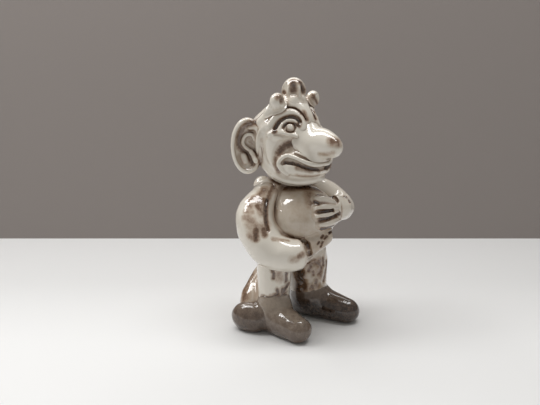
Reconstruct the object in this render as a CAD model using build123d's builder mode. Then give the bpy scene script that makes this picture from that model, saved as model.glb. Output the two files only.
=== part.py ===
import os
from math import cos, radians, sin, sqrt, tan

from build123d import *

os.makedirs("parts", exist_ok=True)

# A glazed ceramic troll, put together from cast and pressed clay pieces that are luted with slip.
# Millimetres and degrees. It faces -Y, its right hand is at -X, and it stands on Z = 0.

# Shoes and legs
stance = 10.8
shoe_length = 31.0
shoe_radius = 6.5
toe_radius = 5.2
shoe_axis = 5.2
toe_axis = 4.5
heel_back = 1.8
shoe_stagger = 1.4
right_turn_out = 4.0
left_turn_out = 13.3
instep_width = 14.6
instep_length = 15.6
instep_half_height = 6.3
instep_forward = 4.4
instep_level = 8.7
right_leg_radius = 6.7
left_leg_radius = 7.5
leg_forward = 1.5
ankle_level = 10.5
hip_height = 33.0
hip_spread = 9.1

# Trunk, measured up from the ground; the belly keeps its share of it
trunk_centre = 42.0
trunk_radius = 14.2
trunk_half_height = 18.0
trunk_back = 1.5
belly_share = 0.94
belly_height_share = 0.70
belly_forward_share = 0.556
belly_rise_share = 0.222
neck_radius = 5.5
neck_length = 4.0
wall = 3.0
neck_bore = 2.6
vent_radius = 2.0

# Jacket, a skin over the trunk
jacket_thickness = 1.5
hem_drop = 15.5
hem_roll = 1.5
opening_share = 1.0
opening_height = 18.4
opening_rise = 8.4
opening_corner = 6.5
collar_width_share = 0.91
collar_length_share = 0.75
collar_half_height = 3.2
collar_back = 2.5
collar_drop = 3.0

# Arms and hands
right_sleeve_radius = 6.5
left_sleeve_radius = 5.2
palm_width = 9.2
palm_height = 11.2
palm_thickness = 6.8
palm_turn = 45.0
palm_lift = 12.5
fist_length = 16.5
fist_radius = 4.0
fist_turn = 4.0
fist_lift = -31.0
finger_radius = 1.5
finger_stand = 0.65
finger_tip_turn = -22.0
finger_root_turn = 30.0
finger_tip_lifts = (43.0, 27.0, 14.0, -1.0)
finger_root_lifts = (27.0, 19.0, 11.0, -5.0)

# Head, stacked on the trunk and as wide as the trunk's share
head_rise = 17.5
skull_share = 0.986
skull_half_height = 13.8
skull_back = 2.2
muzzle_share = 0.964
muzzle_half_height = 10.2
muzzle_forward = 3.5
muzzle_drop = 9.6
eye_radius = 2.3
eye_depth = 1.3
eye_turn = 41.0
eye_lift = 19.0
eye_sink = 1.0
lid_ring = 1.65
lid_radius = 0.65

# Nose
nose_length = 22.0
nose_radius = 5.4
nose_proud = 2.2
nose_drop = 1.3
nose_droop = 5.0

# Ears
ear_width = 12.6
ear_height = 21.6
ear_thickness = 4.2
ear_flare = 48.0
ear_out_share = 1.057
ear_back_share = 0.643
ear_drop = 3.5
ear_rim = 1.9
ear_hollow = 1.7
ear_edge = 1.6

# Hair
hair_depth = 1.6
hairline_tilt = 41.0
hairline_lift = 12.4
nape_drop = 11.0
nape_back = 9.0
strand_count = 7
strand_spread = 96.0
strand_radius = 0.9
strand_top = 66.0
strand_foot = -26.0
tuft_rise = 7.1
tuft_half_height = 5.4
tuft_radius = 4.7
tuft_forward = 1.6
flute_count = 6
flute_start = -48.0
flute_radius = 1.9
curl_half_height = 4.4
curl_radius = 2.4
curl_lift = 2.0
curl_out_share = 0.736
curl_forward = 2.6
curl_lean = 8.0

# Tail
tail_radius = 3.6
tail_root_drop = 21.0
tail_root_share = 0.75
tail_bends = ((0.35, 0.21, 0.29), (0.65, 0.48, 0.54), (0.88, 0.72, 0.77))
brush_length = 15.6
brush_radius = 5.0
brush_half_height = 6.4
brush_axis = 5.4
brush_gap = 1.5
brush_back = 4.2
brush_toe_in = 19.0
brush_hold = 2.0

# Modelled relief of the face: turns from the middle and lifts, on the skull or on the muzzle
roll_radius = 1.3
roll_stand = 0.9
lip_radius = 0.9
cut_radius = 1.0
mouth_radius = 0.8
brow_roll = [(80, 24), (45, 52), (17, 24)]
bag_roll = [(75, 2), (54, 5), (33, -2)]
brow_furrow = [(92, 32), (48, 64), (7, 32)]
brow_hollow = [(66, 20), (47, 40), (33, 33)]
lip_roll = [(-76, -8), (-76, 10), (-50, 18), (0, 3), (50, 18), (76, 10), (76, -8)]
mouth_cut = [(-62, 2), (0, -12), (62, 2)]
chin_cut = [(-72, -22), (0, -31), (72, -22)]
cheek_cut = [(88, 24), (94, 8), (91, -8)]

# Places worked out from those sizes
sides = {"right": -1, "left": 1}
turn_out = {"right": right_turn_out, "left": left_turn_out}
stagger = {"right": shoe_stagger, "left": -shoe_stagger}
leg_radius = {"right": right_leg_radius, "left": left_leg_radius}
sleeve_radius = {"right": right_sleeve_radius, "left": left_sleeve_radius}
belly_radius = belly_share * trunk_radius
trunk_radii = (trunk_radius, trunk_radius, trunk_half_height)
belly_radii = (belly_radius, belly_radius, belly_height_share * trunk_half_height)
trunk_middle = Vector(0, trunk_back, trunk_centre)
belly_lead = belly_forward_share * trunk_radius
belly_middle = trunk_middle + Vector(0, -belly_lead, belly_rise_share * trunk_half_height)
trunk_top = trunk_centre + trunk_half_height
skull_radius = skull_share * trunk_radius
muzzle_radius = muzzle_share * trunk_radius
skull_middle = Vector(0, skull_back, trunk_top + head_rise)
muzzle_middle = Vector(0, -muzzle_forward, skull_middle.Z - muzzle_drop)
skull_radii = (skull_radius, skull_radius, skull_half_height)
muzzle_radii = (muzzle_radius, muzzle_radius, muzzle_half_height)
coat_radius = trunk_radius + jacket_thickness
hair_radius = skull_radius + hair_depth
hair_radii = (hair_radius, hair_radius, skull_half_height + hair_depth)
far = 4 * trunk_radius


def ovoid(radii, place):
    """An egg shape with its own radius along each axis, moved to its place."""
    with BuildPart() as body:
        Sphere(1)
        scale(by=radii)
    return body.part.moved(place)


def inside(radii):
    """The radii of the hollow that a cast wall leaves."""
    return tuple(radius - wall for radius in radii)


def on_egg(middle, radii, turn, lift, out=0.0):
    """The point of an egg at a turn from its front and a lift from its middle, moved out of its skin."""
    level = cos(radians(lift))
    way = Vector(level * sin(radians(turn)), -level * cos(radians(turn)), sin(radians(lift)))
    return middle + Vector(*(share * (radius + out) for share, radius in zip(way, radii)))


def tube(points, radius, ends=(0, 1)):
    """A round bar along a smooth curve through points, with a ball at the ends named."""
    with BuildPart() as bar:
        with BuildLine() as route:
            if len(points) == 3:
                ThreePointArc(*points)
            else:
                Spline(*points)
        path = route.line
        with BuildSketch(Plane(origin=path @ 0, z_dir=path % 0)):
            Circle(radius)
        sweep(path=path)
        with Locations(*(path @ end for end in ends)):
            Sphere(radius)
    return bar.part


def on_skull(points, sign=1, out=0.0):
    """Points of the skull; a sign of -1 takes them to its other side."""
    return [on_egg(skull_middle, skull_radii, sign * turn, lift, out) for turn, lift in points]


def on_muzzle(points, sign=1):
    return [on_egg(muzzle_middle, muzzle_radii, sign * turn, lift) for turn, lift in points]


def from_trunk(x, y, z):
    """A point given from the middle of the trunk, in trunk radii across and half heights up."""
    return trunk_middle + Vector(x * trunk_radius, y * trunk_radius, z * trunk_half_height)


# Outer forms, used to cut each piece where it meets its neighbours
with BuildPart() as trunk_form:
    add(ovoid(trunk_radii, Location(trunk_middle)))
    add(ovoid(belly_radii, Location(belly_middle)))
    with Locations((0, trunk_back, trunk_top - neck_length)):
        Cylinder(neck_radius, 2 * neck_length, align=(Align.CENTER, Align.CENTER, Align.MIN))

with BuildPart() as face_form:
    add(ovoid(skull_radii, Location(skull_middle)))
    add(ovoid(muzzle_radii, Location(muzzle_middle)))

with BuildPart() as head_form:
    add(face_form.part)
    for sign in sides.values():
        for line in (brow_roll, bag_roll):
            add(tube(on_skull(line, sign, roll_stand - roll_radius), roll_radius))
    add(tube(on_muzzle(lip_roll), lip_radius))

with BuildPart() as hair_form:
    add(ovoid(hair_radii, Location(skull_middle)))

# Trunk: a hollow casting with the bare belly, a neck stub and a vent underneath
with BuildPart() as torso:
    add(trunk_form.part)
    add(ovoid(inside(trunk_radii), Location(trunk_middle)), mode=Mode.SUBTRACT)
    add(ovoid(inside(belly_radii), Location(belly_middle)), mode=Mode.SUBTRACT)
    with Locations(trunk_middle):
        Cylinder(neck_bore, 3 * trunk_half_height, mode=Mode.SUBTRACT,
                 align=(Align.CENTER, Align.CENTER, Align.MIN))
        Cylinder(vent_radius, 3 * trunk_half_height, mode=Mode.SUBTRACT,
                 align=(Align.CENTER, Align.CENTER, Align.MAX))

# Eyes: two flattened balls sunk into the face, each inside a ring pressed round it
eyes = {}
sockets = []
for side, sign in sides.items():
    spot = on_egg(skull_middle, skull_radii, sign * eye_turn, eye_lift)
    facing = (spot - skull_middle).normalized()
    with BuildPart() as eye:
        seat = Plane(origin=spot - facing * eye_sink, z_dir=facing)
        add(ovoid((eye_radius, eye_radius, eye_depth), seat.location))
    eyes[side] = eye
    with BuildPart() as socket:
        add(eye.part)
        with Locations(Plane(origin=spot, z_dir=facing)):
            Torus(lid_ring, lid_radius)
    sockets.append(socket)

# Head: a hollow casting with eye seats, modelled folds and a socket for the neck stub
with BuildPart() as head:
    add(head_form.part)
    add(ovoid(inside(skull_radii), Location(skull_middle)), mode=Mode.SUBTRACT)
    add(ovoid(inside(muzzle_radii), Location(muzzle_middle)), mode=Mode.SUBTRACT)
    with Locations((0, trunk_back, trunk_top)):
        Cylinder(neck_radius, 2 * neck_length, mode=Mode.SUBTRACT)
    add(tube(on_muzzle(mouth_cut), mouth_radius), mode=Mode.SUBTRACT)
    add(tube(on_muzzle(chin_cut), cut_radius), mode=Mode.SUBTRACT)
    for sign in sides.values():
        for line in (on_skull(brow_furrow, sign), on_skull(brow_hollow, sign), on_muzzle(cheek_cut, sign)):
            add(tube(line, cut_radius), mode=Mode.SUBTRACT)
    add(trunk_form.part, mode=Mode.SUBTRACT)
    for socket in sockets:
        add(socket.part, mode=Mode.SUBTRACT)

# Nose: a blunt egg luted between the eyes
with BuildPart() as nose:
    add(ovoid((nose_radius, nose_length / 2, nose_radius),
              Location(skull_middle - Vector(0, skull_radius + nose_proud, nose_drop), (nose_droop, 0, 0))))
    add(head_form.part, mode=Mode.SUBTRACT)

# Hair: a combed cap over the crown that runs down behind the ears to the nape
with BuildPart() as hair:
    add(hair_form.part)
    with BuildSketch(Plane(origin=skull_middle, x_dir=(0, 1, 0), z_dir=(1, 0, 0))):
        with BuildLine():
            Polyline((-far, -far), (far, -far), (far, -nape_drop), (nape_back, -nape_drop),
                     (nape_back, hairline_lift - nape_back * tan(radians(hairline_tilt))),
                     (-far, hairline_lift + far * tan(radians(hairline_tilt))), close=True)
        make_face()
    extrude(amount=far, both=True, mode=Mode.SUBTRACT)
    for i in range(strand_count):
        turn = 180 + strand_spread * (i / (strand_count - 1) - 0.5)
        lifts = [strand_top + (strand_foot - strand_top) * share for share in (0, 0.33, 0.67, 1)]
        combed = [on_egg(skull_middle, hair_radii, turn, lift) for lift in lifts]
        add(tube(combed, strand_radius), mode=Mode.SUBTRACT)
    add(head_form.part, mode=Mode.SUBTRACT)

# Ears: oval dishes that stand out from the back of the cheeks
out = Vector(cos(radians(ear_flare)), sin(radians(ear_flare)), 0)
ahead = Vector(sin(radians(ear_flare)), -cos(radians(ear_flare)), 0)
ear_middle = Vector(ear_out_share * skull_radius, ear_back_share * skull_radius, skull_middle.Z - ear_drop)
with BuildPart() as left_ear:
    with BuildSketch(Plane(origin=ear_middle, x_dir=out, z_dir=ahead)):
        Ellipse(ear_width / 2, ear_height / 2)
    extrude(amount=ear_thickness / 2, both=True)
    fillet(left_ear.edges(), ear_edge)
    with BuildSketch(Plane(origin=ear_middle + ahead * (ear_thickness / 2), x_dir=out, z_dir=ahead)):
        Ellipse(ear_width / 2 - ear_rim, ear_height / 2 - ear_rim)
    extrude(amount=-ear_hollow, mode=Mode.SUBTRACT)
    for neighbour in (face_form, hair_form):
        add(neighbour.part, mode=Mode.SUBTRACT)

with BuildPart() as right_ear:
    add(mirror(left_ear.part, about=Plane.YZ))
ears = {"right": right_ear, "left": left_ear}

# Curls and top tuft: eggs rooted in the hair, the tuft fluted
curls = {}
curl_out = curl_out_share * skull_radius
crown = hair_radii[2] * sqrt(1 - (curl_out**2 + (curl_forward + skull_back) ** 2) / hair_radius**2)
for side, sign in sides.items():
    with BuildPart() as curl:
        add(ovoid((curl_radius, curl_radius, curl_half_height),
                  Location((sign * curl_out, -curl_forward, skull_middle.Z + crown + curl_lift),
                           (0, sign * curl_lean, 0))))
        for neighbour in (head_form, hair_form):
            add(neighbour.part, mode=Mode.SUBTRACT)
    curls[side] = curl

tuft_middle = Vector(0, -tuft_forward, skull_middle.Z + hair_radii[2] + tuft_rise - tuft_half_height)
with BuildPart() as tuft:
    add(ovoid((tuft_radius, tuft_radius, tuft_half_height), Location(tuft_middle)))
    for i in range(flute_count):
        turn = flute_start + i * 360 / flute_count
        flute = on_egg(tuft_middle, (tuft_radius, tuft_radius, tuft_half_height), turn, 0)
        add(ovoid((flute_radius, flute_radius, 2 * flute_radius), Location(flute)), mode=Mode.SUBTRACT)
    for neighbour in (head_form, hair_form):
        add(neighbour.part, mode=Mode.SUBTRACT)

# Jacket: a skin over the trunk with a collar and a rolled hem, open round the belly
hem_level = trunk_centre - hem_drop
hem_radius = coat_radius * sqrt(1 - (hem_drop / (trunk_half_height + jacket_thickness)) ** 2)
with BuildPart() as jacket:
    add(ovoid((coat_radius, coat_radius, trunk_half_height + jacket_thickness), Location(trunk_middle)))
    add(ovoid((collar_width_share * trunk_radius, collar_length_share * trunk_radius, collar_half_height),
              Location((0, trunk_back + collar_back, trunk_top - collar_drop))))
    with BuildSketch(Plane(origin=trunk_middle + Vector(0, 0, opening_rise), x_dir=(1, 0, 0), z_dir=(0, -1, 0))):
        RectangleRounded(2 * opening_share * trunk_radius, opening_height, opening_corner)
    extrude(amount=far, mode=Mode.SUBTRACT)
    with Locations((0, 0, hem_level)):
        Box(far, far, far, align=(Align.CENTER, Align.CENTER, Align.MAX), mode=Mode.SUBTRACT)
    with Locations((0, trunk_back, hem_level + hem_roll)):
        Torus(hem_radius, hem_roll)
    for neighbour in (trunk_form, face_form):
        add(neighbour.part, mode=Mode.SUBTRACT)

# Arms: sleeves luted to the jacket, bent so that the hands meet on the belly
arm_routes = {
    "right": [from_trunk(-0.89, 0.11, 0.61), from_trunk(-1.23, 0.04, 0.40), from_trunk(-1.38, -0.18, 0.06),
              from_trunk(-1.30, -0.58, -0.30), from_trunk(-0.94, -0.95, -0.43), from_trunk(-0.61, -1.15, -0.42)],
    "left": [from_trunk(0.79, 0.01, 0.72), from_trunk(1.17, -0.30, 0.62), from_trunk(1.37, -0.67, 0.42),
             from_trunk(1.23, -1.02, 0.31), from_trunk(0.92, -1.22, 0.37)],
}
arm_ends = {"right": (0,), "left": (0, 1)}
arms = {}
for side, route in arm_routes.items():
    with BuildPart() as arm:
        add(tube(route, sleeve_radius[side], arm_ends[side]))
        for neighbour in (trunk_form, jacket, face_form):
            add(neighbour.part, mode=Mode.SUBTRACT)
    arms[side] = arm

# Hands: the left lies flat on the belly with its fingers spread, the right is closed under it
palm_spot = on_egg(belly_middle, belly_radii, palm_turn, palm_lift)
with BuildPart() as left_hand:
    add(ovoid((palm_width / 2, palm_thickness / 2, palm_height / 2), Location(palm_spot, (0, 0, palm_turn))))
    for tip_lift, root_lift in zip(finger_tip_lifts, finger_root_lifts):
        tip = on_egg(belly_middle, belly_radii, finger_tip_turn, tip_lift, finger_stand)
        bend = on_egg(belly_middle, belly_radii, (finger_tip_turn + finger_root_turn) / 2,
                      (tip_lift + root_lift) / 2, finger_stand)
        root = on_egg(belly_middle, belly_radii, finger_root_turn, root_lift, finger_stand)
        add(tube([tip, bend, root], finger_radius))
    for neighbour in (trunk_form, jacket, *arms.values()):
        add(neighbour.part, mode=Mode.SUBTRACT)

fist_start = arm_routes["right"][-1]
fist_way = (on_egg(belly_middle, belly_radii, fist_turn, fist_lift) - fist_start).normalized()
fist = Plane(origin=fist_start + fist_way * (fist_length / 3), x_dir=fist_way, z_dir=(0, 0, 1))
with BuildPart() as right_hand:
    add(ovoid((fist_length / 2, fist_radius, fist_radius), fist.location))
    for neighbour in (trunk_form, jacket, *arms.values(), left_hand):
        add(neighbour.part, mode=Mode.SUBTRACT)
hands = {"right": right_hand, "left": left_hand}

# Shoes: tapered bars with round ends and a rounded instep, cut flat for the sole
shoes = {}
for side, sign in sides.items():
    heading = radians(turn_out[side])
    ahead = Vector(sign * sin(heading), -cos(heading), 0)
    heel = Vector(sign * stance, heel_back + stagger[side], shoe_axis)
    reach = shoe_length - shoe_radius - toe_radius
    toe = heel + ahead * reach - Vector(0, 0, shoe_axis - toe_axis)
    with BuildPart() as shoe:
        with Locations(heel):
            Sphere(shoe_radius)
        with Locations(toe):
            Sphere(toe_radius)
        with Locations(Plane(origin=heel, z_dir=toe - heel)):
            Cone(shoe_radius, toe_radius, (toe - heel).length, align=(Align.CENTER, Align.CENTER, Align.MIN))
        add(ovoid((instep_length / 2, instep_width / 2, instep_half_height),
                  Location(heel + ahead * instep_forward + Vector(0, 0, instep_level - shoe_axis),
                           (0, 0, sign * turn_out[side] - 90))))
        Box(far, far, far, align=(Align.CENTER, Align.CENTER, Align.MAX), mode=Mode.SUBTRACT)
    shoes[side] = shoe

# Legs: trouser legs between the trunk and the shoes
leg_shares = ((0.0, 0.95), (0.45, 1.02), (1.0, 1.06))
legs = {}
for side, sign in sides.items():
    with BuildPart() as leg:
        for rise, share in leg_shares:
            spread = stance + rise * (hip_spread - stance)
            level = ankle_level + rise * (hip_height - ankle_level)
            with BuildSketch(Plane(origin=(sign * spread, -leg_forward, level))):
                Circle(share * leg_radius[side])
        loft()
        for neighbour in (trunk_form, jacket, shoes[side], arms[side]):
            add(neighbour.part, mode=Mode.SUBTRACT)
    legs[side] = leg

# Tail: from under the hem behind the right leg to a brush that lies beside the right shoe
brush_middle = Vector(-stance - shoe_radius - brush_gap, brush_back, brush_axis)
with BuildPart() as brush:
    add(ovoid((brush_radius, brush_length / 2, brush_half_height), Location(brush_middle, (0, 0, brush_toe_in))))
    for neighbour in (shoes["right"], legs["right"]):
        add(neighbour.part, mode=Mode.SUBTRACT)
    Box(far, far, far, align=(Align.CENTER, Align.CENTER, Align.MAX), mode=Mode.SUBTRACT)

tail_root = trunk_middle + Vector(0, tail_root_share * trunk_radius, -tail_root_drop)
tail_end = brush_middle + Vector(brush_hold, brush_hold, brush_hold)
tail_run = tail_end - tail_root
tail_route = [tail_root]
for x, y, z in tail_bends:
    tail_route.append(tail_root + Vector(x * tail_run.X, y * tail_run.Y, z * tail_run.Z))
with BuildPart() as tail:
    add(tube([*tail_route, tail_end], tail_radius))
    for neighbour in (trunk_form, jacket, brush, legs["right"], shoes["right"]):
        add(neighbour.part, mode=Mode.SUBTRACT)

# Every piece, moved so that the origin is on the ground under the middle of the figure
pieces = {"torso": torso, "jacket": jacket, "head": head, "nose": nose, "hair": hair, "hair_tuft": tuft,
          "tail": tail, "tail_brush": brush}
for side in sides:
    pieces |= {f"{side}_eye": eyes[side], f"{side}_ear": ears[side], f"{side}_curl": curls[side],
               f"{side}_arm": arms[side], f"{side}_hand": hands[side], f"{side}_leg": legs[side],
               f"{side}_shoe": shoes[side]}
middle = Compound([piece.part for piece in pieces.values()]).bounding_box().center()
for name, piece in pieces.items():
    placed = piece.part.moved(Location((-middle.X, -middle.Y, 0)))
    placed.label = name
    export_step(placed, f"parts/{name}.step")
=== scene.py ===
import math

import bpy
import numpy as np
from mathutils import Matrix, Vector


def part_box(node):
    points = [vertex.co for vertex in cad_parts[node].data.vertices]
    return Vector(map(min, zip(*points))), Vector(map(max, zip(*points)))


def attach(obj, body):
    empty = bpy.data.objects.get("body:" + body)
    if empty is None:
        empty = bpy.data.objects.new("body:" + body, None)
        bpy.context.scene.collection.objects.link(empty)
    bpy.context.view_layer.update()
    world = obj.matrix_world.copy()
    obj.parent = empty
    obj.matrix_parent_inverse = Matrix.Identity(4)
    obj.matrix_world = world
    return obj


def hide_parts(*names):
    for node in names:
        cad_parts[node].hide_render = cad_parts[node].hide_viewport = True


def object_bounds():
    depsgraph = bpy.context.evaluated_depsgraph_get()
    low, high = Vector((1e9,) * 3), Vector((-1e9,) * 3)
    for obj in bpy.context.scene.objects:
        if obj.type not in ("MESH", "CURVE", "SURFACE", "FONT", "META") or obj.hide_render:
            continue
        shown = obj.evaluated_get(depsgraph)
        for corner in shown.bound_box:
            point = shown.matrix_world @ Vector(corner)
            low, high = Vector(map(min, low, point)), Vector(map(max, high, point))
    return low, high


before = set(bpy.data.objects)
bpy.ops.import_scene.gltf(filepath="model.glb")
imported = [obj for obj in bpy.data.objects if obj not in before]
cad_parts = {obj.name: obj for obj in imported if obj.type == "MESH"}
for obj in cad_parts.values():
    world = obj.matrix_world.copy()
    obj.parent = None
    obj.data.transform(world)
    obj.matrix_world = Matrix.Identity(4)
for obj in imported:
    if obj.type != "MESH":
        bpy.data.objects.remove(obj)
cad_lo, cad_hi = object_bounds()

# The glazed troll is sculpted as distance fields, one for each solid of the frame, and meshed.
# Lengths are hundredths of the frame's height, measured from the ground under the trunk's axis.
# It faces -Y and its right hand is at -X.
unit = (cad_hi[2] - cad_lo[2]) / 100
trunk_lo, trunk_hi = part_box("torso")
belly_lead = 2.0
axis_x = (trunk_lo.x + trunk_hi.x) / 2
axis_y = (trunk_lo.y + trunk_hi.y) / 2 + belly_lead * unit
origin = np.array([axis_x, axis_y, cad_lo[2]])
grid = 0.3
SINGLE = np.float32


def length(v):
    return np.sqrt((v * v).sum(-1))


# The camera, solved from the figure's height and the feet in the 540 x 405 photograph
picture = (540.0, 405.0)
focal_px = 600.0
camera_height = 108.0
camera_distance = 235.4
camera_turn = math.radians(-48)
horizon_row = 55.55
axis_column = 291.0
pitch = math.atan((picture[1] / 2 - horizon_row) / focal_px)
yaw = math.atan((axis_column - picture[0] / 2) / focal_px * math.cos(pitch))
eye_point = np.array([math.sin(camera_turn) * camera_distance,
                      -math.cos(camera_turn) * camera_distance, camera_height])
level_way = np.array([-math.sin(camera_turn + yaw), math.cos(camera_turn + yaw), 0])
right_way = np.array([level_way[1], -level_way[0], 0])
look_way = level_way * math.cos(pitch) - np.array([0, 0, math.sin(pitch)])
up_way = np.cross(right_way, look_way)


# Distance fields: each function gives the distance of points from a form, negative inside it
def turned(about_x, about_y, about_z):
    """A rotation, from turns in degrees about X, then Y, then Z."""
    turn = Matrix.Rotation(math.radians(about_z), 3, "Z") @ Matrix.Rotation(math.radians(about_y), 3, "Y")
    return np.array(turn @ Matrix.Rotation(math.radians(about_x), 3, "X"), SINGLE)


def ball(centre, radii, turn=(0, 0, 0)):
    """An egg with its own radius along each axis."""
    c = np.array(centre, SINGLE)
    r = np.array(radii, SINGLE)
    spin = turned(*turn)

    def field(p):
        q = (p - c) @ spin
        k = length(q / r)
        return k * (k - 1) / (length(q / (r * r)) + 1e-9)
    return field


def flowing(points, steps=6):
    """Points along the smooth curve through the given ones."""
    p = np.array(points, float)
    ends = np.vstack([2 * p[0] - p[1], p, 2 * p[-1] - p[-2]])
    t = np.linspace(0, 1, steps, endpoint=False)[:, None]
    runs = []
    for a, b, c, d in zip(ends, ends[1:], ends[2:], ends[3:]):
        runs.append(0.5 * (2 * b + (c - a) * t + (2 * a - 5 * b + 4 * c - d) * t**2
                           + (3 * b - a - 3 * c + d) * t**3))
    return np.vstack(runs + [p[-1:]])


reach = 3.5


def tube(points, steps=6):
    """A round bar along a smooth curve; each point is x, y, z and radius."""
    spine = flowing(points, steps).astype(SINGLE)
    pad = spine[:, 3].max() + reach
    lo = spine[:, :3].min(0) - pad
    hi = spine[:, :3].max(0) + pad

    def field(p):
        outside = length(np.maximum(np.maximum(lo - p, p - hi), 0))
        d = outside + reach
        near = np.flatnonzero(outside == 0)
        q = p[near]
        best = np.full(len(q), 1e6, SINGLE)
        for a, b in zip(spine, spine[1:]):
            run = b[:3] - a[:3]
            t = np.clip((q - a[:3]) @ run / max(float(run @ run), 1e-9), 0, 1)
            best = np.minimum(best, length(q - a[:3] - t[:, None] * run) - (a[3] + t * (b[3] - a[3])))
        d[near] = best
        return d
    return field


def soft_min(a, b, k):
    h = np.maximum(k - np.abs(a - b), 0) / k
    return np.minimum(a, b) - h * h * k / 4


def join(k, *fields):
    """The fields run together with a fillet of about k."""
    def field(p):
        d = fields[0](p)
        for other in fields[1:]:
            d = soft_min(d, other(p), k)
        return d
    return field


def carve(k, body, *tools):
    """The body with the tools cut out of it and the edges softened by k."""
    def field(p):
        d = body(p)
        for tool in tools:
            d = -soft_min(-d, tool(p), k)
        return d
    return field


def melt(k, piece, *hosts):
    """The piece with a fillet of glaze onto what carries it."""
    feather = 0.8 * k

    def field(p):
        own = piece(p)
        d = own
        for host in hosts:
            d = soft_min(d, host(p), k)
        return np.maximum(d, own - feather)
    return field


def mirrored(feature):
    """A feature of the right side, on both sides."""
    fold = np.array([1, 0, 0], bool)

    def field(p):
        return feature(np.where(fold, -np.abs(p), p))
    return field


def other_side(feature):
    """A form of the right side, moved to the left."""
    flip = np.array([-1, 1, 1], SINGLE)
    return lambda p: feature(p * flip)


def pressed(field, amount=0.10):
    """A form with the slight unevenness of clay pressed by hand."""
    short = 0.9
    long = 0.42

    def wobbled(p):
        x, y, z = p.T
        ripple = np.sin(long * x + 1.7 * np.sin(long * z)) + np.sin(long * y + 1.3 * np.sin(long * x) + 0.6)
        ripple += 0.5 * np.sin(short * z + 1.1 * np.sin(short * y) + 2.0) * np.sin(short * x + 0.4)
        return field(p) + SINGLE(amount) * ripple
    return wobbled


def slope(field, p, step=0.02):
    """The gradient of a field."""
    g = np.empty_like(p)
    for axis in range(3):
        shift = np.zeros(3, SINGLE)
        shift[axis] = step
        g[:, axis] = field(p + shift) - field(p - shift)
    return g / (2 * step)


clear_run = 70
march_steps = 90
march_share = 0.7
march_least = 0.02


def seen(field, pixels):
    """Where the photograph's pixels fall on a form, and the form's normals there."""
    px = np.array(pixels, float)
    rays = (look_way + np.outer(px[:, 0] - picture[0] / 2, right_way) / focal_px
            - np.outer(px[:, 1] - picture[1] / 2, up_way) / focal_px)
    rays /= length(rays)[:, None]
    along = np.full(len(px), camera_distance - clear_run)
    best = np.full(len(px), 1e9)
    spot = np.zeros((len(px), 3))
    for _ in range(march_steps):
        p = eye_point + along[:, None] * rays
        d = field(p.astype(SINGLE)).astype(float)
        closer = np.abs(d) < best
        best[closer] = np.abs(d[closer])
        spot[closer] = p[closer]
        along += march_share * np.maximum(d, march_least)
    n = slope(field, spot.astype(SINGLE)).astype(float)
    return spot, n / length(n)[:, None]


def ridge(field, pixels, radius, lift):
    """A roll of clay along pixels of the photograph, standing out of a form by lift."""
    spot, n = seen(field, pixels)
    r = np.broadcast_to(np.array(radius, float), len(spot))
    return tube(np.column_stack([spot - n * (r - lift)[:, None], r]), 4)


def groove(field, pixels, radius, depth):
    """A tool stroke along pixels of the photograph, cut into a form by depth."""
    return ridge(field, pixels, radius, 2 * np.broadcast_to(np.array(radius, float), len(pixels)) - depth)


def ring(centre, across, up, steps=20):
    """Points round an ellipse, given by its two half axes."""
    turns = np.linspace(0, 2 * math.pi, steps + 1)
    return np.array(centre) + np.outer(np.cos(turns), across) + np.outer(np.sin(turns), up)


def with_radius(points, radius):
    return np.column_stack([points, np.broadcast_to(radius, len(points))])


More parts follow.
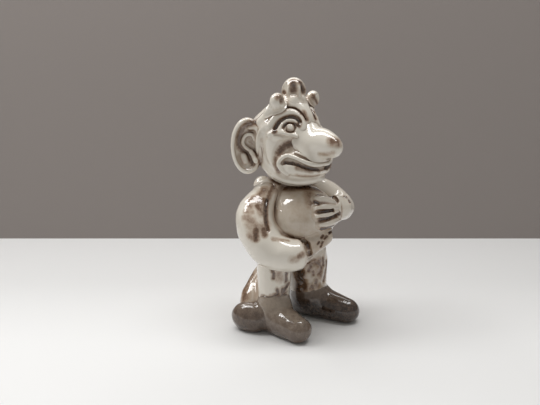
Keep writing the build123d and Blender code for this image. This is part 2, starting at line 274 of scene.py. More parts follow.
def surface(field, lo, hi, h):
    """A closed mesh of a field: surface nets on a grid that is fine only near the skin."""
    big = 4
    coarse = h * big
    count = np.ceil((hi - lo) / coarse).astype(int) + 1
    axes = [lo[i] + coarse * np.arange(count[i]) for i in range(3)]
    knots = np.stack(np.meshgrid(*axes, indexing="ij"), -1).reshape(-1, 3).astype(SINGLE)
    rough = field(knots).reshape(count)
    far = 9.0
    values = np.sign(rough) * far
    for axis in range(3):
        values = np.repeat(values, big, axis)
    values = values.astype(SINGLE)
    offset = (np.arange(big) - (big - 1) / 2) * h
    local = np.stack(np.meshgrid(offset, offset, offset, indexing="ij"), -1).reshape(-1, 3)
    local_index = np.stack(np.meshgrid(*[np.arange(big)] * 3, indexing="ij"), -1).reshape(-1, 3)
    skin_reach = 1.9 * coarse
    near = np.argwhere(np.abs(rough) < skin_reach)
    batch = 4000
    for start in range(0, len(near), batch):
        block = near[start:start + batch]
        p = (lo + coarse * block)[:, None, :] + local
        at = (block * big)[:, None, :] + local_index
        fine = field(p.reshape(-1, 3).astype(SINGLE))
        values[at[..., 0], at[..., 1], at[..., 2]] = fine.reshape(len(block), -1)
    for axis in range(3):
        edge = np.moveaxis(values, axis, 0)
        edge[0] = far
        edge[-1] = far
    solid = values < 0
    shape = np.array(values.shape) - 1
    corners = [(i, j, k) for i in (0, 1) for j in (0, 1) for k in (0, 1)]
    inside = np.zeros(shape, np.uint8)
    for i, j, k in corners:
        inside += solid[i:i + shape[0], j:j + shape[1], k:k + shape[2]]
    cells = np.argwhere((inside > 0) & (inside < len(corners)))
    index = np.full(shape, -1, np.int64)
    index[tuple(cells.T)] = np.arange(len(cells))
    total = np.zeros((len(cells), 3))
    hits = np.zeros(len(cells))
    for corner in corners:
        for axis in range(3):
            if corner[axis]:
                continue
            a = cells + corner
            b = a.copy()
            b[:, axis] += 1
            va = values[tuple(a.T)]
            vb = values[tuple(b.T)]
            cross = (va < 0) != (vb < 0)
            t = va[cross] / (va[cross] - vb[cross])
            total[cross] += a[cross] + (b[cross] - a[cross]) * t[:, None]
            hits[cross] += 1
    points = (lo + offset[0] + h * total / hits[:, None]).astype(SINGLE)
    quads = []
    for axis in range(3):
        u = (axis + 1) % 3
        w = (axis + 2) % 3
        first = [slice(1, -1)] * 3
        second = [slice(1, -1)] * 3
        first[axis] = slice(0, -1)
        second[axis] = slice(1, None)
        here = solid[tuple(first)]
        edges = np.argwhere(here != solid[tuple(second)])
        outward = here[tuple(edges.T)]
        base = edges + 1
        base[:, axis] -= 1
        corner_cells = []
        for du, dw in ((1, 1), (0, 1), (0, 0), (1, 0)):
            cell = base.copy()
            cell[:, u] -= du
            cell[:, w] -= dw
            corner_cells.append(index[tuple(cell.T)])
        quad = np.stack(corner_cells, 1)
        quad[~outward] = quad[~outward][:, ::-1]
        quads.append(quad)
    settle_rounds = 2
    least_slope = 0.05
    longest_move = 0.6 * h
    for _ in range(settle_rounds):
        g = slope(field, points)
        move = (field(points) / np.maximum((g * g).sum(1), least_slope))[:, None] * g
        points -= move * np.minimum(1, longest_move / np.maximum(length(move), 1e-9))[:, None]
    return points, np.vstack(quads)


# Trunk, belly and jacket
trunk_middle = np.array([0, 1.5, 42.0])
trunk_radii = np.array([14.2, 14.2, 18.0])
belly_middle = np.array([0, -6.4, 46.0])
belly_radii = np.array([13.4, 13.3, 12.6])
cloth = 1.5
trunk = ball(trunk_middle, trunk_radii)
belly = ball(belly_middle, belly_radii)
neck_radius = 5.5
neck = tube([(0, trunk_middle[1], level, neck_radius) for level in (55, 60, 63)], 2)
torso = join(2.0, trunk, belly, neck)
opening_middle = np.array([0, 0, 50.4])
opening_half = np.array([14.2, 9.2])
opening_power = 3.0
hem_level = 26.5


def belly_opening(p):
    """A rounded gap in the jacket's front."""
    share = np.abs((p[:, [0, 2]] - opening_middle[[0, 2]]) / opening_half)
    flat = (share**opening_power).sum(1) ** (1 / opening_power)
    return np.maximum((flat - 1) * opening_half.min(), p[:, 1] - trunk_middle[1] - 1.0).astype(SINGLE)


coat_radii = trunk_radii + cloth
coat = ball(trunk_middle, coat_radii)
front_strip = [(279, 180), (277, 187), (274, 194.5), (270.4, 203.7), (269.3, 211), (270.6, 218.5),
               (274.2, 225.2), (280, 229.3), (288, 231.8), (301, 232.8)]
front_edge = mirrored(ridge(coat, front_strip, 1.15, 0.8))
collar = ball((0, 4.0, 57.0), (12.9, 10.6, 3.2))
hem_radius = 9.2
hem_middle = (0, trunk_middle[1], hem_level + 1.1)
hem = tube(with_radius(ring(hem_middle, (hem_radius, 0, 0), (0, hem_radius, 0)), 1.5), 3)
collar_fold = [(259, 180), (264, 182), (269, 184)]
collar_bump = mirrored(ridge(coat, collar_fold, 3.2, 1.2))
jacket = carve(0.8, join(1.6, coat, collar, collar_bump), belly_opening, lambda p: p[:, 2] - hem_level)
jacket = join(1.0, jacket, front_edge, hem)

# Head
skull_middle = np.array([0, 2.2, 77.5])
skull_radii = np.array([14.0, 14.0, 13.8])
muzzle_middle = np.array([0, -3.5, 67.9])
muzzle_radii = np.array([13.5, 13.7, 10.2])
face = join(4.0, ball(skull_middle, skull_radii), ball(muzzle_middle, muzzle_radii))

forehead_roll = [(271, 112.5), (276, 107), (283, 104.4), (290, 104), (297, 105.4), (302.5, 109.4),
                 (306, 115), (307.4, 121)]
forehead_radius = [1.4, 2.4, 3.0, 3.2, 3.1, 2.8, 2.3, 1.6]
forehead_lift = np.array([0.6, 1.4, 2.2, 2.4, 2.2, 1.8, 1.3, 0.8])
brow_furrow = [(268, 121.8), (271, 116.6), (275.4, 111.6), (281, 108.5), (288, 107.7), (294, 109),
               (299, 112.2), (303, 116.8), (305, 121)]
brow_roll = [(269, 125.5), (274.5, 118), (282, 113.4), (290.3, 111.9), (296, 113.8), (300.4, 117.8),
             (303, 123.5), (303.8, 129)]
brow_hollow = [(274.5, 131.5), (275.8, 127.2), (279, 122.6), (283.6, 119.4), (289.2, 117.5), (294.4, 117.8),
               (297.8, 120.2), (299.4, 123), (298.6, 125)]
brow_hollow_radius = [0.5, 0.85, 1.0, 1.0, 1.0, 1.05, 1.1, 0.95, 0.6]
lid_roll = [(279.6, 128.6), (282.4, 123.8), (286.8, 120.6), (292, 120.2), (296.4, 122.4), (299, 126.2)]
eye_centre = (290.2, 127.4)
eye_half = (6.0, 4.0)
bag_roll = [(269, 135), (274.5, 132.8), (282, 133.4), (289, 135.2), (296, 137)]
bag_radius = [0.8, 1.3, 1.5, 1.4, 0.9]
bag_slit = [(274.5, 134.6), (280, 135.2), (286, 137), (291, 138)]
bag_under = [(275.5, 138), (281, 138.6), (288, 140.2), (294, 140.2)]
cheek_fold = [(295, 142), (289, 142.3), (283.5, 145.8), (279, 151), (276, 157.5), (275.3, 163.5),
              (277.5, 170.5), (282.5, 175), (289, 177), (300, 178.4), (311, 177.6), (320, 176.4)]
cheek_fold_radius = np.array([1.1, 1.9, 2.1, 1.9, 1.6, 1.4, 1.3, 1.1, 0.9, 0.75, 0.7, 0.6])
wing_fold = [(297, 146.5), (291, 149.5), (285, 153.5)]
lip_roll = [(328, 159.5), (324, 163.3), (317.4, 164.9), (308.8, 163.5), (300.2, 160.1), (292.7, 156.9),
            (287.6, 155.4), (282.8, 157.6), (279.2, 161.2), (278.6, 164.6), (280.4, 168), (283, 171.4),
            (287, 174)]
lip_line = [(295.5, 154.2), (301, 157.2), (308.8, 160), (314.5, 161.4), (321, 161.6), (325.5, 159.3)]
lip_line_radius = [0.6, 0.65, 0.5, 0.4, 0.4, 0.4]
mouth_line = [(282.6, 163.2), (287.5, 161.4), (295, 162.8), (302.5, 166), (311, 168.8), (319, 169.2),
              (325, 167.8), (329.5, 163), (332, 158)]
mouth_radius = np.array([0.7, 1.2, 1.15, 0.95, 0.8, 0.8, 0.75, 0.6, 0.5])
lower_lip = [(289, 169.5), (296, 172), (305, 173.8), (314, 173.6), (321, 172)]
jaw_roll = [(266, 124), (260.5, 133), (258.2, 142), (258, 152), (261.3, 163.5), (268, 171), (275, 176.3),
            (283.5, 180), (293, 182), (303, 182.6), (312, 182), (320, 180.3)]
cheek_edge = [(263, 135), (262, 143), (262.5, 152), (266, 163), (272, 170)]
ball_radius = 2.3
ball_stand = 0.15
ball_gap = 0.05

eye_spot, eye_way = seen(face, [eye_centre])
eye_middle = eye_spot[0] - eye_way[0] * (ball_radius - ball_stand)
eye_across = seen(face, [(eye_centre[0] + eye_half[0], eye_centre[1])])[0][0] - eye_spot[0]
eye_up = seen(face, [(eye_centre[0], eye_centre[1] - eye_half[1])])[0][0] - eye_spot[0]
eye = ball(eye_middle, (ball_radius,) * 3)
eye_ring = ring(eye_spot[0] + eye_way[0] * ball_stand, eye_across, eye_up)
eye_groove = tube(with_radius(eye_ring, 0.75), 3)

rolls = join(0.8, ridge(face, forehead_roll, forehead_radius, forehead_lift),
             ridge(face, brow_roll, 1.5, 1.05), ridge(face, bag_roll, bag_radius, 0.9),
             ridge(face, bag_under, 0.9, 0.6), ridge(face, jaw_roll, 1.5, 0.7))
face_rolls = join(1.2, face, mirrored(rolls))
soft_cuts = mirrored(join(0.5, groove(face, cheek_fold, cheek_fold_radius, 0.5 * cheek_fold_radius),
                          groove(face, cheek_edge, 1.6, 0.4), groove(face, wing_fold, 2.4, 0.9)))
deep_cuts = mirrored(join(0.5, groove(face, brow_furrow, 0.6, 0.7),
                          groove(face, brow_hollow, brow_hollow_radius, 1.0)))
cut_face = carve(0.6, carve(1.4, face_rolls, soft_cuts), deep_cuts)
fine_rolls = mirrored(join(0.4, ridge(face, lid_roll, 0.55, 0.4), ridge(face, lip_roll, 0.85, 0.75),
                           ridge(face, lower_lip, 2.2, 0.35)))
fine_cuts = mirrored(join(0.3, eye_groove, groove(face, mouth_line, mouth_radius, 1.35 * mouth_radius),
                          groove(face, lip_line, lip_line_radius, 0.9),
                          groove(face_rolls, bag_slit, 0.45, 0.35),
                          ball(eye_middle, (ball_radius + ball_gap,) * 3)))
temple_middle = np.array([-11.4, 14.8, 94.5])
temple_radius = 12.0
temple_gap = 0.3
temples = mirrored(ball(temple_middle, (temple_radius + temple_gap,) * 3))
head = carve(0.35, join(0.6, cut_face, fine_rolls), fine_cuts)
head = carve(1.5, head, temples)

# Nose
nose_line = [(0, -9.5, 76.2, 5.7), (0, -15.0, 76.2, 5.7), (0, -18.6, 75.6, 5.0), (0, -21.0, 75.0, 4.0)]
nose_fillet = 3.6
nose = melt(nose_fillet, tube(nose_line, 8), face)

# Ears
ear_flare = 48.0
ear_half = np.array([6.3, 2.2, 10.8])
ear_out = np.array([-math.cos(math.radians(ear_flare)), math.sin(math.radians(ear_flare)), 0])
ear_ahead = np.array([-math.sin(math.radians(ear_flare)), -math.cos(math.radians(ear_flare)), 0])
ear_up = np.array([0, 0, 1.0])
ear_middle = np.array([-14.8, 9.0, 74.0])
ear_turn = (0, 0, -ear_flare)
ear_fillet = 1.2
rim_inset = 1.2
rim_radius = 1.25
rim_ahead = 0.5
dish_half = (4.7, 2.3, 9.0)
dish_ahead = 1.7
helix = ring(ear_middle + ear_ahead * rim_ahead, ear_out * (ear_half[0] - rim_inset),
             ear_up * (ear_half[2] - rim_inset), 24)
ear_plate = join(0.8, ball(ear_middle, ear_half, ear_turn), tube(with_radius(helix, rim_radius), 3))
ear_dish = carve(0.6, ear_plate, ball(ear_middle + ear_ahead * dish_ahead, dish_half, ear_turn))
inner_loop = [(254.5, 154.3), (250.4, 150.7), (244.8, 146.6), (242.5, 143), (242.8, 139.5), (244.8, 135.9),
              (248.9, 133.7), (253.2, 134.6), (255.5, 139)]
inner_stem = [(252, 152), (254.5, 156), (257, 161)]
upper_fold = [(258, 128.5), (253.5, 127.5), (249.5, 127.5)]
lobe_bump = [(243.5, 156), (245.5, 161)]
ear_rolls = join(0.4, ridge(ear_dish, inner_loop, 0.75, 1.3), ridge(ear_dish, inner_stem, 1.1, 1.6),
                 ridge(ear_dish, upper_fold, 1.1, 0.8), ridge(ear_dish, lobe_bump, 1.7, 1.3))
ear = melt(ear_fillet, join(0.6, ear_dish, ear_rolls), face)

# Hair, curls and tuft
hair_depth = 1.6
hair_tilt = math.radians(41)
hair_lift = 12.4
hair_fillet = 2.4
hair_spread = np.array([0.2, 1.0, 0.8])
hair_shell = ball(skull_middle, skull_radii + hair_depth * hair_spread)


def under_hairline(p):
    return (p[:, 2] - skull_middle[2] - hair_lift) * math.cos(hair_tilt) \
        + (p[:, 1] - skull_middle[1]) * math.sin(hair_tilt)


nape_level = 66.5
nape_front = 9.0
strand_count = 9
strand_start = 0.12
strand_end = 0.62
strand_fan = math.radians(40)
strand_radius = 0.85
strand_sway = 0.10
strands = []
for turn in np.linspace(-strand_fan, strand_fan, strand_count):
    falls = np.linspace(strand_start, strand_end, 6) * math.pi
    sway = turn + strand_sway * np.sin(3 * falls)
    line = skull_middle + (skull_radii + hair_depth) * np.column_stack(
        [np.sin(falls) * np.sin(sway), np.sin(falls) * np.cos(sway), np.cos(falls)])
    strands.append(tube(with_radius(line, strand_radius), 3))
hair_front = [(258.5, 121.5), (263, 117), (266.5, 112.5), (268.3, 107), (269.5, 102)]


def hair_body(p):
    """The cap above the hairline and the fall of hair down to the nape."""
    shell = hair_shell(p)
    cap = -under_hairline(p)
    fall = np.maximum(skull_middle[1] + nape_front - p[:, 1], nape_level - p[:, 2])
    region = soft_min(cap, fall, 1.5)
    return -soft_min(-shell, -region, 1.2)


hair_roll = mirrored(ridge(hair_shell, hair_front, 1.3, 0.5))
hair = melt(hair_fillet, join(1.0, carve(0.6, hair_body, *strands), hair_roll), face_rolls)
hair = carve(1.5, hair, mirrored(ball(temple_middle, (temple_radius,) * 3)))

curl_fillet = 1.8
curl_middle = np.array([-10.3, -2.6, 91.6])
curl_radii = (3.0, 2.4, 3.0)
cup_shift = np.array([1.1, -2.6, -0.1])
cup_radii = (2.3, 1.8, 2.4)
curl_stalk = [(-10.4, -2.3, 91.0, 2.2), (-10.9, -0.6, 89.0, 1.5), (-11.8, 1.6, 87.0, 0.9)]
curl_lobe = join(1.5, ball(curl_middle, curl_radii), tube(curl_stalk, 5))


def cupped(lobe, side):
    """A curl with its hollow, which faces the troll's left on both."""
    cup = ball(curl_middle * np.array([side, 1, 1]) + cup_shift, cup_radii)
    return melt(curl_fillet, carve(0.5, lobe, cup), face_rolls, hair_shell)


tuft_middle = np.array([0, -1.6, 94.6])
tuft_radii = np.array([4.7, 4.7, 5.4])
tuft_fillet = 1.8
flute_count = 6
flute_turn = -48.0
flute_lean = -10
flute_out = 4.9
flute_drop = np.array([0, 0, 0.3])
flute_radii = (2.1, 1.7, 4.5)
foot_out = 3.2
foot_drop = np.array([0, 0, 2.4])
foot_radii = (1.6, 1.6, 1.3)
tuft = ball(tuft_middle, tuft_radii)
for i in range(flute_count):
    turn = flute_turn + i * 360 / flute_count
    out = np.array([math.sin(math.radians(turn)), -math.cos(math.radians(turn)), 0])
    flute = ball(tuft_middle + out * flute_out - flute_drop, flute_radii, (flute_lean, 0, turn))
    foot = ball(tuft_middle + out * foot_out - foot_drop, foot_radii)
    tuft = join(0.5, carve(0.4, tuft, flute), foot)
tuft = melt(tuft_fillet, tuft, face_rolls)

# Arms and hands
right_arm_fillet = 2.6
left_arm_fillet = 2.2
hand_fillet = 2.2
right_sleeve = [(-12.6, 3.0, 53.0, 5.6), (-17.8, 2.0, 49.2, 6.8), (-20.0, -1.0, 43.0, 7.3),
                (-18.6, -6.7, 36.5, 7.0), (-13.4, -12.0, 34.2, 6.5), (-7.4, -15.2, 34.6, 6.0),
                (-4.0, -16.8, 35.0, 6.0)]
cuff_spot = np.array([-8.6, -14.8, 34.4])
cuff_way = np.array([0.88, -0.46, 0.08])
left_sleeve = [(11.2, 1.6, 55.0, 5.2), (16.6, -2.8, 53.2, 5.4), (19.4, -8.0, 49.6, 5.4),
               (17.4, -13.0, 47.6, 5.2), (13.0, -15.8, 48.6, 4.4)]
right_tube = pressed(carve(2.4, tube(right_sleeve, 9), lambda p: (cuff_spot - p) @ cuff_way))
left_tube = pressed(tube(left_sleeve, 9))
# Painted shade at the top of the sleeve groove, where the sleeve meets the coat.
sleeve_shade = [(274, 186), (270.5, 192), (268, 199)]
sleeve_groove = [(267.4, 200), (266.2, 206), (265.6, 213.3), (266.4, 222.8), (267.9, 230)]
side_of_coat = join(0.5, right_tube, jacket)
sleeve_cut = groove(side_of_coat, sleeve_groove, [0.6, 0.85, 0.9, 0.9, 0.8], 1.1)
elbow_pits = [([(344.6, 196.4), (345.8, 197.8)], 0.7), ([(349, 200.6), (349.6, 202.2)], 0.6)]
elbow_cuts = [groove(left_tube, line, radius, radius) for line, radius in elbow_pits]
left_back = ball((9.6, -16.0, 48.8), (4.6, 3.4, 5.6), (0, 0, 30))
right_back_line = [(-8.0, -14.8, 36.0, 3.4), (-3.0, -16.8, 38.0, 3.4), (0.8, -17.8, 39.6, 3.0)]
right_back = pressed(tube(right_back_line, 8))
cuff_pits = [[(303.2, 236.8), (303.9, 240.6)], [(307.2, 243.6), (308.6, 248)],
             [(309.6, 252), (310.2, 255)]]
cuff_cuts = [groove(join(1.0, right_tube, right_back), line, 1.2, 1.7) for line in cuff_pits]
right_arm = carve(0.6, melt(right_arm_fillet, right_tube, jacket), sleeve_cut, *cuff_cuts)
left_arm = carve(0.4, melt(left_arm_fillet, left_tube, jacket, left_back), *elbow_cuts)

hand_skin = 1.2
belly_skin = ball(belly_middle, belly_radii + hand_skin)
finger_lines = [[(317, 198), (323, 199), (329, 200.2), (334.5, 202.3)],
                [(317, 208), (324, 207.8), (330, 207.6), (336, 207.5)],
                [(318, 216), (324, 215.3), (331, 214), (337, 212.6)],
                [(321.5, 225.3), (327, 224), (333, 222), (338.5, 220)]]
finger_radius = [0.7, 1.5, 1.6, 1.3]
finger_lift = [0.4, 1.0, 1.0, 1.0]
left_fingers = [ridge(belly_skin, line, finger_radius, finger_lift) for line in finger_lines]
finger_gaps = [[(316, 194), (325, 194.2), (332, 196.4), (337, 201)],
               [(314.8, 202), (318, 203.4)],
               [(318.5, 212), (325, 211.3), (332, 210.6)],
               [(320, 220), (327, 218.6), (333, 216), (338.6, 213.7)],
               [(321.4, 229), (331, 226.8), (341, 221)]]
finger_cuts = [groove(join(0.3, left_back, belly_skin), line, 0.9, 0.9) for line in finger_gaps]
left_hand = carve(0.5, melt(hand_fillet, join(0.3, left_back, *left_fingers), belly), *finger_cuts)

knuckle_gaps = [[(329, 233.2), (330.8, 231.2)], [(324.6, 238.6), (327, 236)],
                [(321.4, 237.8), (323, 235.6)], [(321.8, 243.4), (322.8, 241.8)],
                [(318, 244), (319.2, 241.8)], [(320.6, 246.8), (321.6, 245)]]
knuckle_cuts = [groove(right_back, line, 0.5, 0.6) for line in knuckle_gaps]
right_hand = carve(0.3, melt(hand_fillet, right_back, belly), *knuckle_cuts, *cuff_cuts)

# Shoes, legs and tail
leg_fillet = 2.0
shoe_fillet = 0.6
tail_fillet = 2.6
brush_fillet = 1.6
jacket_fillet = 1.6
sole_edge = 0.8
right_shoe_line = [(-11.2, 3.2, 5.2, 6.3), (-12.2, -7.6, 5.2, 6.4), (-12.6, -16.2, 4.4, 5.2)]
left_shoe_line = [(10.4, 0.4, 5.6, 6.8), (12.9, -9.8, 5.2, 6.5), (15.0, -19.0, 4.4, 5.2)]
right_instep = ball((-11.1, -1.7, 9.0), (7.3, 7.6, 9.0))
left_instep = ball((9.9, -3.0, 8.8), (8.6, 8.8, 7.6))


def standing(field):
    """A form cut flat where it stands on the ground."""
    return lambda p: -soft_min(-field(p), p[:, 2], sole_edge)


right_shoe = pressed(join(2.0, tube(right_shoe_line, 10), right_instep))
left_shoe = pressed(join(2.0, tube(left_shoe_line, 10), left_instep))
right_leg_line = [(-9.2, -0.6, 33, 7.2), (-10.4, -1.0, 20, 6.7), (-11.0, -1.4, 13, 6.3)]
left_leg_line = [(8.8, -1.4, 33, 7.8), (9.2, -2.0, 23, 8.4), (9.4, -2.4, 13, 7.8)]
right_leg = pressed(tube(right_leg_line, 8))
left_leg = pressed(tube(left_leg_line, 8))
right_folds = [[(272, 266), (272.9, 270.8), (273.9, 274.1), (273.4, 278)],
               [(286.6, 269), (286.3, 275), (286, 281)],
               [(288.7, 283.7), (285.2, 288), (283.6, 292)],
               [(277.2, 289.5), (277.7, 293.3), (274.4, 295.7), (271, 298)],
               [(282.5, 289), (282, 293), (284.4, 297)],
               [(262, 297), (269.6, 299.3), (276.7, 299.8), (283.4, 299), (286.5, 295.5)]]
left_folds = [[(310.5, 265), (313, 262.8), (317, 263), (320.5, 266), (321, 270.5), (318, 274.3)],
              [(313, 272), (313.3, 274.4)], [(308.6, 270.5), (310.8, 266.6)],
              [(297.5, 274), (302.3, 272.6)], [(298.5, 279), (303, 283.5), (303, 288.5)],
              [(311.5, 286.5), (313, 287.6)], [(316.3, 280), (315.6, 283)],
              [(326.4, 261), (326.4, 267), (325, 274), (323.6, 280.5)], [(322.6, 258), (323.2, 265)]]
right_leg_cut = [groove(right_leg, line, 1.2, 0.5) for line in right_folds]
left_leg_cut = [groove(left_leg, line, 1.5, 0.6) for line in left_folds]
brush = pressed(ball((-18.8, 4.2, 5.4), (5.0, 7.8, 6.4), (0, 0, 19)))
tail_line = [(0, 12.2, 21, 3.2), (-6, 10.6, 17.4, 4.0), (-10.8, 8.6, 14.4, 4.6), (-14.4, 7.2, 11, 4.8),
             (-16.4, 6.0, 8, 4.6)]
tail = pressed(tube(tail_line, 6))

fields = {
    "torso": torso,
    "jacket": carve(0.4, melt(jacket_fillet, jacket, torso), sleeve_cut),
    "head": head,
    "nose": nose,
    "hair": hair,
    "hair_tuft": tuft,
    "right_eye": eye,
    "left_eye": other_side(eye),
    "right_ear": ear,
    "left_ear": other_side(ear),
    "right_curl": cupped(curl_lobe, 1),
    "left_curl": cupped(other_side(curl_lobe), -1),
    "right_arm": right_arm,
    "left_arm": left_arm,
    "right_hand": right_hand,
    "left_hand": left_hand,
    "right_leg": carve(0.8, melt(leg_fillet, right_leg, jacket), *right_leg_cut),
    "left_leg": carve(0.8, melt(leg_fillet, left_leg, jacket), *left_leg_cut),
    "right_shoe": standing(melt(shoe_fillet, right_shoe, right_leg)),
    "left_shoe": standing(melt(shoe_fillet, left_shoe, left_leg)),
    "tail": melt(tail_fillet, tail, jacket, right_leg),
    "tail_brush": standing(melt(brush_fillet, brush, right_shoe)),
}
brown_nodes = ("right_shoe", "left_shoe", "tail_brush")

# Mesh every field
probe_step = 2.0
probe_pad = 4.0
box_pad = 1.0
probe_lo = (np.array(cad_lo) - origin) / unit - probe_pad
probe_hi = (np.array(cad_hi) - origin) / unit + probe_pad
probe_axes = [np.arange(probe_lo[i], probe_hi[i], probe_step) for i in range(3)]
probe = np.stack(np.meshgrid(*probe_axes, indexing="ij"), -1).reshape(-1, 3).astype(SINGLE)
boxes = {}
meshes = {}
for name, field in fields.items():
    near = probe[field(probe) < 1.8 * probe_step]
    boxes[name] = (near.min(0) - SINGLE(box_pad), near.max(0) + SINGLE(box_pad))
    meshes[name] = surface(field, *boxes[name], grid)

pool_reaches = (0.7, 1.4, 2.6)
pool_shares = (0.32, 0.36, 0.16)
pool_most = 1.2
pool_gains = {"head": 0.68, "torso": 0.35, "jacket": 0.6, "nose": 0.4, "right_hand": 0.6, "left_hand": 0.8,
              "right_curl": 0.35, "left_curl": 0.6, "hair": 0.6, "hair_tuft": 0.8}


def clay(p):
    """The distance from the whole figure."""
    d = np.full(len(p), reach, SINGLE)
    for name, field in fields.items():
        lo, hi = boxes[name]
        near = np.flatnonzero(((p > lo) & (p < hi)).all(1))
        if len(near):
            d[near] = np.minimum(d[near], field(p[near]))
    return d


def pooled(p, n):
    """How deep each spot lies in a crease, where the oxide stays: 0 on open skin."""
    total = np.zeros(len(p))
    for out, share in zip(pool_reaches, pool_shares):
        total += share * np.clip(1 - clay(p + n * SINGLE(out)) / out, 0, pool_most)
    return total


# Brushed oxide and painted shade: strokes along pixels of the photograph, with their width and strength.
# Most strokes are oxide; sleeve_shade, the belly's strokes under the chin and beside the left hand, and the
# left leg's first two strokes are painted shade.
washes_and_painted_shade = {
    "jacket": [(sleeve_groove, 1.1, 0.75), (sleeve_shade, 1.5, 0.6),
               ([(275, 186), (272, 196), (270.5, 206)], 1.8, 0.3)],
    "right_arm": [(sleeve_groove, 1.1, 0.8), (sleeve_shade, 1.5, 0.6),
                  ([(252.1, 199), (258.8, 196.5), (265.5, 188)], 2.4, 0.5),
                  ([(256.4, 200.8), (264.5, 200)], 2.4, 0.5),
                  ([(257.4, 205.6), (260.7, 210.4), (264.5, 214.2)], 1.6, 0.55),
                  ([(261, 201), (262.5, 212)], 3.0, 0.42),
                  ([(250.2, 199), (250.2, 207)], 2.0, 0.42),
                  ([(246, 211.5), (251.5, 212.5)], 1.8, 0.36),
                  ([(245.4, 217.6), (251.6, 220.9), (255.9, 227.6)], 2.2, 0.4),
                  ([(250, 221), (255, 232)], 3.6, 0.3),
                  ([(255.9, 230.5), (256, 238.5)], 1.7, 0.7),
                  ([(249.5, 236), (253, 238)], 2.0, 0.36),
                  ([(263.6, 230), (264.3, 234.5)], 1.6, 0.66),
                  ([(258, 231), (262, 228), (265, 224)], 3.0, 0.36),
                  ([(273, 239), (281, 240), (288, 240.5)], 1.2, 0.34),
                  ([(292, 260), (297, 259)], 2.0, 0.3),
                  ([(299, 257), (303, 254)], 1.4, 0.5),
                  *[(line, 1.0, 0.8) for line in cuff_pits]],
    "left_hand": [(line, 1.0, 0.95) for line in finger_gaps],
    "right_hand": [(line, 1.0, 0.8) for line in cuff_pits] + [(line, 0.5, 0.8) for line in knuckle_gaps],
    "left_arm": [([(345, 197), (345.6, 197.6)], 1.0, 0.9),
                 ([(349.2, 201), (349.5, 202)], 0.8, 0.9),
                 ([(338, 202), (341, 209), (340, 217)], 1.2, 0.4)],
    # Painted shade on the belly under the chin, and beside the left hand.
    "torso": [([(284, 187), (293, 188), (308, 188), (318, 189)], 2.6, 0.6),
              ([(309, 193), (312, 204)], 3.0, 0.4)],
    "tail": [([(251, 276), (246, 286), (244, 298)], 4.0, 0.5)],
    # The first two strokes are painted shade, between the legs and under the hand.
    "left_leg": [([(299, 268), (300, 280), (299, 292)], 3.0, 0.9),
                 ([(304, 262), (312, 262), (320, 262)], 2.5, 0.5),
                 ([(300, 276), (304, 284), (302, 290)], 2.6, 0.6),
                 ([(311, 288), (318, 286)], 2.2, 0.4),
                 ([(318, 268), (321, 276)], 2.0, 0.4),
                 *[(line, 1.0, 0.6) for line in left_folds]],
    "right_leg": [([(277, 270), (280, 279)], 2.4, 0.35),
                  ([(272, 297), (279, 296), (285, 293)], 1.8, 0.5),
                  *[(line, 0.9, 0.75) for line in right_folds]],
    "nose": [([(333, 141), (337.5, 141.5)], 2.6, 0.54),
             ([(320, 154.5), (333, 153)], 1.4, 0.3)],
    "hair_tuft": [([(293, 81.5), (293.5, 90)], 1.9, 0.62),
                  ([(299.5, 82), (303, 91)], 1.5, 0.8),
                  ([(284, 92), (285, 93)], 1.0, 0.7)],
    "right_curl": [([(278.5, 97), (281, 100)], 1.7, 0.6)],
    "left_curl": [([(313.5, 96.5), (316, 102)], 1.7, 0.6)],
    "right_ear": [([(262, 124), (256, 123), (250, 123), (244.3, 126.5), (240.3, 132.5), (238.6, 139.5),
                    (239.2, 146), (243.6, 150.3), (248, 154), (250.6, 159), (253, 164)], 1.7, 0.66),
                  ([(249, 138), (252, 144), (254, 150)], 1.6, 0.35)],
    "head": [([(285, 163), (295, 164.6), (305, 168), (318, 170.4)], 1.1, 0.95),
             (brow_hollow, 1.2, 0.9), (brow_furrow, 0.7, 0.65),
             ([(283.5, 127.5), (286, 124), (291, 122.6), (296, 124.6)], 0.8, 0.95),
             ([(284, 129), (287, 131.6), (293, 132), (296.5, 129)], 0.7, 0.85),
             ([(295, 143), (289, 144), (283, 147.5), (279, 153)], 1.9, 0.7),
             ([(276, 158), (275.5, 165), (279, 172)], 1.3, 0.5),
             ([(303, 113), (306, 119)], 1.6, 0.55),
             ([(262, 140), (263, 152)], 1.6, 0.2),
             ([(297, 168), (312, 171.5)], 1.2, 0.4),
             (wing_fold, 2.2, 0.25),
             ([(297, 175.4), (308, 176.6), (318, 175.6)], 1.3, 0.36)],
}
# On the brown glaze, tan lightens and speckle darkens: the right shoe's high tan is painted light, the left
# shoe's low tan and heavy speckle are painted shade.
tans_and_light = {"torso": 0.80, "right_hand": 0.75, "left_hand": 0.20, "left_leg": 0.60, "right_leg": 0.10,
        "left_arm": 0.22, "jacket": 0.22, "hair": 0.18, "tail": 0.40, "right_shoe": 0.85,
        "left_shoe": 0.15, "tail_brush": 0.35}
# The brown glaze is lighter towards the top and darker, more speckled, towards the sole.
sole_band = 6.0
speckles_and_shade = {"right_shoe": 0.29, "left_shoe": 0.56, "tail_brush": 0.40}
speckle_start = 1.9
speckle_fall = 0.7
speckle_least = 0.45
bare_sole = 0.5
stroke_fade = 1.5
tint_blend = 1.0
plain_tan = 0.06
twins = {"left_ear": "right_ear", "head": "head"}


def tinted(p):
    """How warm the cream glaze is at each spot: neighbouring pieces run into one another."""
    total = np.zeros(len(p))
    weight = np.full(len(p), 1e-6)
    for name, field in fields.items():
        lo, hi = boxes[name]
        near = np.flatnonzero(((p > lo) & (p < hi)).all(1))
        if len(near) and name not in brown_nodes:
            w = np.exp(-np.maximum(field(p[near]), 0) / tint_blend)
            total[near] += w * tans_and_light.get(name, plain_tan)
            weight[near] += w
    return total / weight


